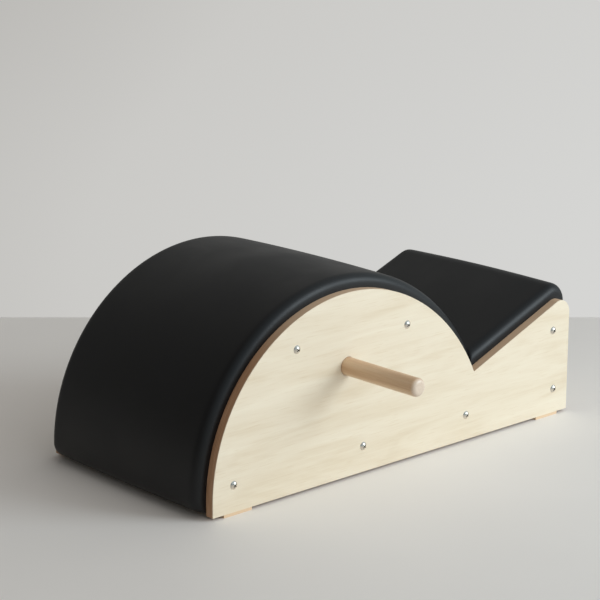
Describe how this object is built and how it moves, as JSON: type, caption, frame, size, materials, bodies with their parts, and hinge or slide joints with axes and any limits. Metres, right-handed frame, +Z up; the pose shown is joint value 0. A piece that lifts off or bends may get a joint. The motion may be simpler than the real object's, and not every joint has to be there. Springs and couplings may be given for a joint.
{
  "type": "pilates spine corrector",
  "caption": "Padded barrel arc with a sloping step seat between flat wooden side panels, with a pull-out round wooden handle on each side.",
  "frame": {"origin": "on the floor, under the middle of the body's length and width", "axes": "+X from the barrel's toe to the back of the step, +Z up, -Y towards the near side panel"},
  "size_m": [0.8538, 0.732, 0.337],
  "materials": {
    "panel_veneer": "pale veneer under satin lacquer, brown sealed edges",
    "foot_strip": "plain beech strip, satin",
    "plywood": "raw sanded plywood",
    "pine": "raw planed pine",
    "handle_wood": "turned beech, waxed",
    "foam": "open-cell upholstery foam",
    "black_vinyl": "satin black upholstery vinyl, fine grain",
    "bright_screw": "bright nickel plate",
    "zinc_screw": "zinc plate"
  },
  "bodies": {
    "frame": {"near_side_panel": "panel_veneer", "far_side_panel": "panel_veneer", "near_front_foot": "foot_strip", "near_rear_foot": "foot_strip", "far_front_foot": "foot_strip", "far_rear_foot": "foot_strip", "near_core_rib": "plywood", "centre_rib": "plywood", "far_core_rib": "plywood", "toe_rail": "pine", "barrel_left_rail": "pine", "barrel_right_rail": "pine", "middle_rail": "pine", "notch_rail": "pine", "rear_lower_rail": "pine", "rear_upper_rail": "pine", "barrel_deck": "plywood", "step_deck": "plywood", "back_board": "panel_veneer", "bottom_board": "plywood", "barrel_foam": "foam", "step_foam": "foam", "barrel_cover": "black_vinyl", "step_cover": "black_vinyl", "near_socket_block": "pine", "far_socket_block": "pine", "near_panel_screws": "bright_screw", "far_panel_screws": "bright_screw", "barrel_deck_screws": "zinc_screw", "step_deck_screws": "zinc_screw", "back_board_screws": "zinc_screw", "bottom_board_screws": "zinc_screw"},
    "near_handle": {"near_handle": "handle_wood"},
    "far_handle": {"far_handle": "handle_wood"}
  },
  "joints": [
    {"name": "near_handle_pull", "type": "slide", "parent": "frame", "child": "near_handle", "axis": [0, -1, 0], "range_m": [0, 0.072]},
    {"name": "far_handle_pull", "type": "slide", "parent": "frame", "child": "far_handle", "axis": [0, 1, 0], "range_m": [0, 0.072]}
  ]
}
